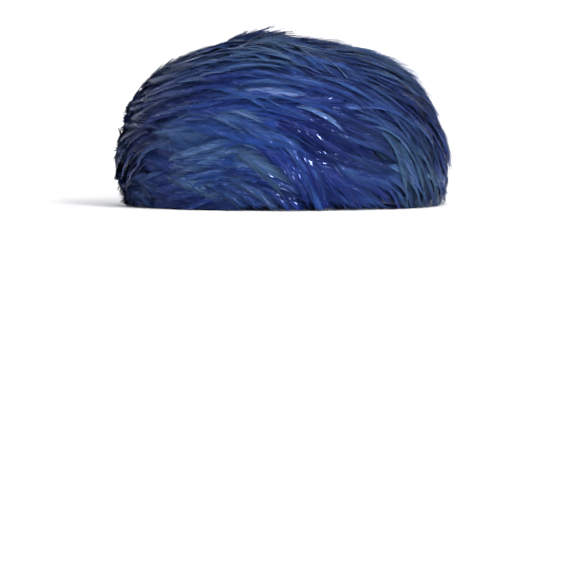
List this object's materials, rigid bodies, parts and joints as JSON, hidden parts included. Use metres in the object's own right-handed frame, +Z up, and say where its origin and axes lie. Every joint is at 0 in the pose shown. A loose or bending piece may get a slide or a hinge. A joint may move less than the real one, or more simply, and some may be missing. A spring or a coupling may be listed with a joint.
{
  "type": "feather hat",
  "caption": "Round, deep-crowned feather hat: a hollow felt cap with a ribbon-bound rim, covered all over by overlapping rows of sweeping dyed feathers.",
  "frame": {"origin": "on the ground under the middle of the hat, in the plane the rim stands on", "axes": "+Z up through the crown, -Y towards the front, +X towards the right of the picture"},
  "size_m": [0.1965, 0.2287, 0.0993],
  "materials": {
    "navy_felt": "matt pressed felt",
    "slate_ribbon": "folded ribbon with a faint rib",
    "deep_royal_feather": "silky dyed feather",
    "steel_blue_feather": "silky dyed feather",
    "royal_feather": "silky dyed feather",
    "violet_blue_feather": "silky dyed feather",
    "slate_blue_feather": "silky dyed feather",
    "teal_grey_feather": "silky dyed feather"
  },
  "bodies": {
    "root": {"cap_base": "navy_felt", "rim_binding": "slate_ribbon", "feather_row_1": "deep_royal_feather", "feather_row_2": "steel_blue_feather", "feather_row_3": "royal_feather", "feather_row_4": "violet_blue_feather", "feather_row_5": "slate_blue_feather", "crown_feathers": "teal_grey_feather"}
  },
  "joints": []
}
